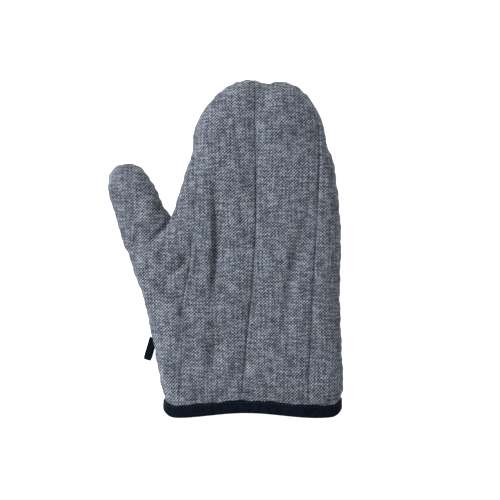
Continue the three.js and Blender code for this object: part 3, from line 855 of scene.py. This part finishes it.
def binding():
    line = binding_line()
    section = thick_section(line, PLY)
    reach = arc_length(line)
    across = np.concatenate([reach, reach[::-1] + OTHER_FACE_WEAVE])
    wander = 0.45 * np.sin(mouth_length[:-1] / 5.3) + 0.3 * np.sin(mouth_length[:-1] / 2.1 + 1)
    vertices, coordinates = [], []
    for index in range(len(mouth)):
        for (y, depth), v in zip(section, across):
            hem = ramp(y, -146, -138)
            raised = depth + binding_offset(index, y, depth)
            vertices.append(mouth_point(index, y + wander[index] * hem, raised))
            coordinates.append((mouth_length[index], v))
    grid = np.arange(len(vertices)).reshape(len(mouth), len(section))
    faces = cells(wrap(np.vstack([grid, grid[:1]])))
    return subdivide(make_cloth("cuff_binding_tape", vertices, faces, coordinates))


def binding_stitches():
    y = HEM_TOP - 1.3
    ring = [*range(len(mouth)), 0]
    path = [mouth_point(i, y, OUTER_PLY - PLY / 2 + binding_offset(i, y, OUTER_PLY)) for i in ring]
    up = np.insert(-mouth_inward[ring], 1, 0, axis=1)
    return stitch_row("binding_topstitching", np.array(path), up, radius=0.2, rise=0.12)


# ---- Hanging loop: a strip folded along its length, then doubled, its ends caught in the side seam ----
def bezier(a, b, c, d, steps):
    t = np.linspace(0, 1, steps)[:, None]
    a, b, c, d = (np.array(point, float) for point in (a, b, c, d))
    return (1 - t) ** 3 * a + 3 * t * (1 - t) ** 2 * b + 3 * t**2 * (1 - t) * c + t**3 * d


LOOP_WIDTH, LOOP_THICK, LOOP_PLY = 7.3, 0.9, 0.4
LOOP_ROOT = np.array([-65.6, -82.0, SEAM_HEIGHT - 0.4])
LOOP_END = np.array([-71.2, -101.2])
LOOP_DROOP = math.radians(14)


def loop_frame():
    level = np.array([*(LOOP_END - LOOP_ROOT[:2]), 0.0])
    level /= np.linalg.norm(level)
    straight = level * math.cos(LOOP_DROOP) - np.array([0, 0, math.sin(LOOP_DROOP)])
    across = -np.cross([0, 0, 1], level)
    return straight, across, np.cross(across, straight)


def hanging_loop():
    half = LOOP_THICK / 2
    lower = np.vstack([
        bezier((-2, -half), (-1, -half), (0, -half), (1, -half), 5)[:-1],
        bezier((1, -half), (6, -half), (7.3, -3.9), (13, -3.9), 12)[:-1],
        bezier((13, -3.9), (17.1, -3.9), (19.5, -2.2), (19.5, 0), 9),
    ])
    centre = np.vstack([lower, (lower * [1, -1])[::-1][1:]])
    normal = -right_normals(np.gradient(centre, axis=0))
    w, p, g = LOOP_WIDTH / 2, LOOP_PLY, (LOOP_THICK - 2 * LOOP_PLY) / 2
    # A ply below, the fold at +w and a ply above; the raw edges are turned in at -w.
    below = [(-w, -g - 0.05), (-w, -g - p + 0.08), (-w + 0.2, -g - p)]
    below += [(v, -g - p) for v in np.linspace(-w + 1.4, w - 1.2, 5)]
    below += [(w - 0.35, -g - p + 0.02), (w - 0.05, -0.2)]
    between = [(v, g) for v in (-w + 0.3, -1.2, 1.2, w - 0.7)]
    section = []
    for lower_half in (below, between):
        section += lower_half + [(v, -out) for v, out in lower_half[::-1]]
    straight, across, up = loop_frame()
    place = arc_length(centre)
    vertices, coordinates = [], []
    around = arc_length(np.array(section + section[:1]))
    for (u, v), n, s in zip(centre, normal, place):
        wave = 0.12 * math.sin(s / 1.9)
        twist = 0.10 * math.sin(s / place[-1] * math.pi * 2)
        narrowing = 1 - 0.24 * math.exp(-(((s - place[-1] / 2) / 2.6) ** 2))
        for (side_step, out), q in zip(section, around):
            lift = out + wave + side_step * twist
            side_step *= narrowing
            raised = straight * (u + n[0] * lift) + up * (v + n[1] * lift)
            vertices.append(LOOP_ROOT + raised + across * side_step)
            coordinates.append((q, s))
    rows = np.arange(len(vertices)).reshape(len(centre), len(section))
    faces = [*cells(wrap(rows)), rows[0, ::-1], rows[-1]]
    return subdivide(make_cloth("hanging_loop_tape", vertices, faces, coordinates))


# ---- Materials ----
def set_inputs(node, values):
    for key, value in values.items():
        node.inputs[key].default_value = value


class Nodes:
    """Short calls for building a material's node tree."""

    def __init__(self, name, roughness=0.9, sheen=0.1, specular=0.2):
        self.material = bpy.data.materials.new(name)
        self.material.use_nodes = True
        self.tree = self.material.node_tree
        self.shader = self.tree.nodes["Principled BSDF"]
        set_inputs(self.shader, {"Roughness": roughness, "Specular IOR Level": specular})
        set_inputs(self.shader, {"Sheen Weight": sheen, "Sheen Roughness": 0.5})

    def add(self, kind, **settings):
        return assign(self.tree.nodes.new(kind), **settings)

    def set(self, target, value):
        if hasattr(value, "is_linked"):
            self.tree.links.new(value, target)
        else:
            target.default_value = value

    def math(self, operation, a, b=0.0):
        node = self.add("ShaderNodeMath", operation=operation)
        self.set(node.inputs[0], a)
        self.set(node.inputs[1], b)
        return node.outputs[0]

    def total(self, parts):
        """The weighted sum of (value, weight) pairs."""
        result = None
        for value, weight in parts:
            part = self.math("MULTIPLY", value, weight)
            result = part if result is None else self.math("ADD", result, part)
        return result

    def weave(self, scale=(1, 1), turn=0.0):
        """The flat cloth's coordinates, turned and then scaled."""
        place = self.add("ShaderNodeUVMap", uv_map="weave")
        mapping = self.add("ShaderNodeMapping")
        set_inputs(mapping, {"Rotation": (0, 0, turn), "Scale": (*scale, 1)})
        self.set(mapping.inputs["Vector"], place.outputs["UV"])
        return mapping.outputs["Vector"]

    def noise(self, scale, detail=2, roughness=0.6, low=0.32):
        """Noise in the flat cloth, stretched so that low and its mirror image, 1 - low, become 0 and 1."""
        node = self.add("ShaderNodeTexNoise")
        set_inputs(node, {"Scale": 1.0, "Detail": detail, "Roughness": roughness})
        self.set(node.inputs["Vector"], self.weave(scale))
        stretched = self.add("ShaderNodeMapRange")
        set_inputs(stretched, {"From Min": low, "From Max": 1 - low})
        self.set(stretched.inputs["Value"], node.outputs["Fac"])
        return stretched.outputs["Result"]

    def bands(self, turn, period, distortion=1.0):
        """Parallel bands across the cloth, period in metres."""
        node = self.add("ShaderNodeTexWave", wave_type="BANDS", bands_direction="X", wave_profile="SIN")
        set_inputs(node, {"Scale": 2 * math.pi / 20 / period, "Distortion": distortion, "Detail": 0})
        self.set(node.inputs["Vector"], self.weave(turn=turn))
        return node.outputs["Fac"]

    def ramp(self, value, stops):
        node = self.add("ShaderNodeValToRGB")
        elements = node.color_ramp.elements
        while len(elements) < len(stops):
            elements.new(0.5)
        for element, (position, colour) in zip(elements, stops):
            element.position = position
            element.color = (*colour, 1)
        self.set(node.inputs["Fac"], value)
        return node.outputs["Color"]

    def multiply(self, first, second):
        node = self.add("ShaderNodeMix", data_type="RGBA", blend_type="MULTIPLY")
        node.inputs["Factor"].default_value = 1.0
        self.tree.links.new(first, node.inputs[6])
        self.tree.links.new(second, node.inputs[7])
        return node.outputs[2]

    def finish(self, colour, height, strength, distance):
        self.set(self.shader.inputs["Base Color"], colour)
        node = self.add("ShaderNodeBump")
        set_inputs(node, {"Strength": strength, "Distance": distance * MM})
        self.set(node.inputs["Height"], height)
        self.set(self.shader.inputs["Normal"], node.outputs["Normal"])
        return self.material


def linear(red, green, blue):
    """An sRGB colour, 0 to 255, as the linear values that Blender takes."""
    def channel(c):
        c /= 255
        return c / 12.92 if c <= 0.04045 else ((c + 0.055) / 1.055) ** 2.4
    return tuple(channel(c) for c in (red, green, blue))


def chambray():
    n = Nodes("chambray_cloth", roughness=0.93, sheen=0.05)
    per = 1 / MM
    yarns = n.total([
        (n.bands(math.radians(45), 1.95 * MM, 1.0), 0.31),
        (n.bands(math.radians(-47), 2.05 * MM, 1.5), 0.15),
        (n.noise((per / 1.6, per / 1.6), 0, 0.5, 0.33), 0.18),
    ])
    total = n.math("ADD", yarns, n.total([
        (n.noise((per / 9, per / 1.7), 0, 0.5, 0.35), 0.15),
        (n.noise((per / 1.7, per / 24), 0, 0.5, 0.35), 0.12),
        (n.noise((per / 16, per / 9)), 0.08),
    ]))
    colour = n.ramp(total, [
        (0.24, linear(36, 39, 48)), (0.42, linear(65, 70, 81)),
        (0.55, linear(88, 94, 105)), (0.78, linear(144, 150, 160)),
    ])
    tint = n.ramp(n.noise((per / 24, per / 30), 3, 0.6, 0.34), [
        (0.0, (0.86, 0.83, 0.83)), (0.5, (1.04, 1.02, 1.0)), (1.0, (1.02, 1.05, 1.06)),
    ])
    return n.finish(n.multiply(colour, tint), yarns, 0.4, 0.35)


def woven(name, dark, light, pitch, sheen=0.1, bump=0.3, specular=0.2):
    """A plain woven tape or lining, its yarns pitch millimetres apart."""
    n = Nodes(name, sheen=sheen, specular=specular)
    per = 1 / (pitch * MM)
    total = n.total([
        (n.bands(math.radians(40), pitch * 1.9 * MM, 1.0), 0.24),
        (n.noise((per, per / 5)), 0.26),
        (n.noise((per / 5, per)), 0.22),
        (n.noise((per * 1.2, per * 1.2), 1, 0.6, 0.3), 0.2),
        (n.noise((60, 60), 2, 0.5), 0.14),
    ])
    return n.finish(n.ramp(total, [(0.2, dark), (0.85, light)]), total, 0.6, bump)


def wadding():
    n = Nodes("cotton_wadding", sheen=0.3)
    fibres = n.total([(n.noise((900, 900), 4, 0.7, 0.3), 0.6), (n.noise((150, 150), 3, 0.6, 0.3), 0.4)])
    colour = n.ramp(fibres, [(0.1, linear(205, 200, 188)), (0.9, linear(246, 243, 236))])
    return n.finish(colour, fibres, 0.8, 0.6)


def thread(name, dark, light):
    n = Nodes(name, roughness=0.6, sheen=0.2)
    ply = n.bands(math.radians(32), 0.5 * MM, 0.4)
    mixed = n.total([(ply, 0.6), (n.noise((2500, 900), 2, 0.6, 0.3), 0.4)])
    return n.finish(n.ramp(mixed, [(0.1, dark), (0.9, light)]), mixed, 0.6, 0.08)


materials = {
    "chambray": chambray(),
    "wadding": wadding(),
    "lining": woven("lining_cloth", linear(188, 181, 166), linear(232, 228, 216), 0.6),
    "navy_tape": woven("navy_tape_cloth", linear(0, 0, 1), linear(14, 24, 37), 1.1, 0.0, 0.6, 0.06),
    "grey_thread": thread("grey_thread_ply", linear(52, 57, 70), linear(112, 118, 130)),
    "navy_thread": thread("navy_thread_ply", linear(1, 3, 7), linear(17, 23, 32)),
}


# ---- Pieces ----
LOOP_SEAM = np.array([-66.4, -82.3])  # the side seam where the loop hinges
LOOP_NORMAL = np.array([-0.973, -0.230])
BLENDS = {  # body that each blend goes to, where it starts and how far it reaches
    "fold": ("thumb", CROTCH, FOLD_NORMAL * FOLD_WIDTH),
    "root": ("loop", LOOP_SEAM, LOOP_NORMAL * 5),
}


def finish_piece(thing, slot, nodes, body):
    thing.data.materials.clear()
    thing.data.materials.append(materials[slot])
    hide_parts(*nodes)
    if body in BLENDS:
        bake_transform(thing)
    else:
        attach(thing, body)
    return thing


def two_parts(layer_name):
    """The CAD model cuts each layer in two at the thumb's fold."""
    return [f"{layer_name}_hand", f"{layer_name}_thumb"]


names = {1: "front", -1: "back"}
surfaces, shells, linings = {}, {}, {}
for side, word in names.items():
    shell, place, final = panel(f"{word}_shell", side)
    surfaces[side] = Surface(place, final)
    apply_modifier(shell, "SOLIDIFY", thickness=CLOTH * MM, offset=-1)
    shells[side] = finish_piece(shell, "chambray", two_parts(f"{word}_shell"), "fold")
    batting = layer(f"{word}_batting", side, LAYERS["batting"], False)
    finish_piece(batting, "wadding", two_parts(f"{word}_batting"), "fold")
    lining = layer(f"{word}_lining", side, LAYERS["lining"], True)
    linings[side] = finish_piece(lining, "lining", two_parts(f"{word}_lining"), "fold")

LINE_NAMES = ["1", "2", "3", "thumb"]
for side, word in names.items():
    for label, line in zip(LINE_NAMES, plan.lines):
        steps = along(line, np.linspace(0.005, 0.985, int(arc_length(line)[-1] / 1.2)))
        steps = steps[steps[:, 1] > -136]
        path = surfaces[side].at(steps)
        up = np.tile([0.0, 0.0, side], (len(path), 1))
        row = stitch_row(f"{word}_quilting_{label}", path, up)
        body = "fold" if label == "thumb" else "hand"
        finish_piece(row, "grey_thread", [f"{word}_quilting_thread_{label}"], body)


THREAD_DEPTH = 0.75  # from the outline to the side seam's thread


def seam_stitches(name, start, end):
    """Stitches in the crease of the side seam, between two places in the seam's loop of points."""
    points, inward = plan.points[plan.seam[start:end]], plan.inward[start:end]
    path = points + inward * THREAD_DEPTH
    path[:, 1] += cuff_shift(points, 0)
    path, up = np.insert(path, 2, SEAM_HEIGHT, axis=1), np.insert(-inward, 2, 0, axis=1)
    return stitch_row(name, path, up, length=2.0, pitch=3.0, radius=0.24, rise=0.1, sink=0.4)


foot, crotch = (
    int(np.argmin(np.linalg.norm(plan.points[plan.seam] - place, axis=1))) for place in (FOLD_FOOT, CROTCH)
)
SEAM_ENDS = 5  # points left free beside the cuff
for label, start, end, body in (
    ("outer", SEAM_ENDS, foot, "fold"),
    ("thumb", foot, crotch, "fold"),
    ("fingers", crotch + 1, len(plan.seam) - SEAM_ENDS, "hand"),
):
    row = seam_stitches(f"side_seam_stitches_{label}", start, end)
    finish_piece(row, "grey_thread", [f"side_seam_thread_{label}"], body)

tape = finish_piece(binding(), "navy_tape", ["cuff_binding"], "hand")
topstitch = finish_piece(binding_stitches(), "navy_thread", ["binding_stitches"], "hand")
strap = finish_piece(hanging_loop(), "navy_tape", ["hanging_loop"], "root")

# ---- Stage ----
floor_material = bpy.data.materials.new("floor")
floor_material.use_nodes = True
set_inputs(floor_material.node_tree.nodes["Principled BSDF"], {
    "Base Color": (0.95, 0.95, 0.95, 1),
    "Roughness": 1.0,
    "Emission Color": (1, 1, 1, 1),
    "Emission Strength": 1.0,
})
FLOOR_HALF = 3000
floor_corners = [(x * FLOOR_HALF, y * FLOOR_HALF, 0) for x, y in ((-1, -1), (1, -1), (1, 1), (-1, 1))]
floor = make_object("floor", floor_corners, [(0, 1, 2, 3)], False)
floor.data.materials.append(floor_material)

world = bpy.data.worlds.new("studio")
world.use_nodes = True
set_inputs(world.node_tree.nodes["Background"], {"Color": (1, 1, 1, 1), "Strength": 0.33})
bpy.context.scene.world = world
bpy.context.scene.view_settings.view_transform = "Standard"


def area_light(name, position, target, size, power):
    data = assign(bpy.data.lights.new(name, "AREA"), shape="DISK", size=size, energy=power)
    lamp = bpy.data.objects.new(name, data)
    lamp.location = position
    lamp.rotation_euler = (Vector(target) - Vector(position)).to_track_quat("-Z", "Y").to_euler()
    bpy.context.scene.collection.objects.link(lamp)


MIDDLE = (0, 0, 0.01)
area_light("key", (-1.15, 0.6, 1.45), MIDDLE, 0.8, 53)
area_light("fill", (0.9, -0.5, 1.8), MIDDLE, 1.6, 4)

LENS, SENSOR = 150, 36
FIELD = 0.45  # width of the table that the picture spans
AIM_X, AIM_Y = 0.0218, -0.0013  # what the camera stands over
camera_data = assign(bpy.data.cameras.new("camera"), lens=LENS, sensor_width=SENSOR, clip_end=20)
camera = bpy.data.objects.new("camera", camera_data)
camera.location = (AIM_X, AIM_Y, FIELD * LENS / SENSOR + SEAM_HEIGHT * MM)
bpy.context.scene.collection.objects.link(camera)
bpy.context.scene.camera = camera
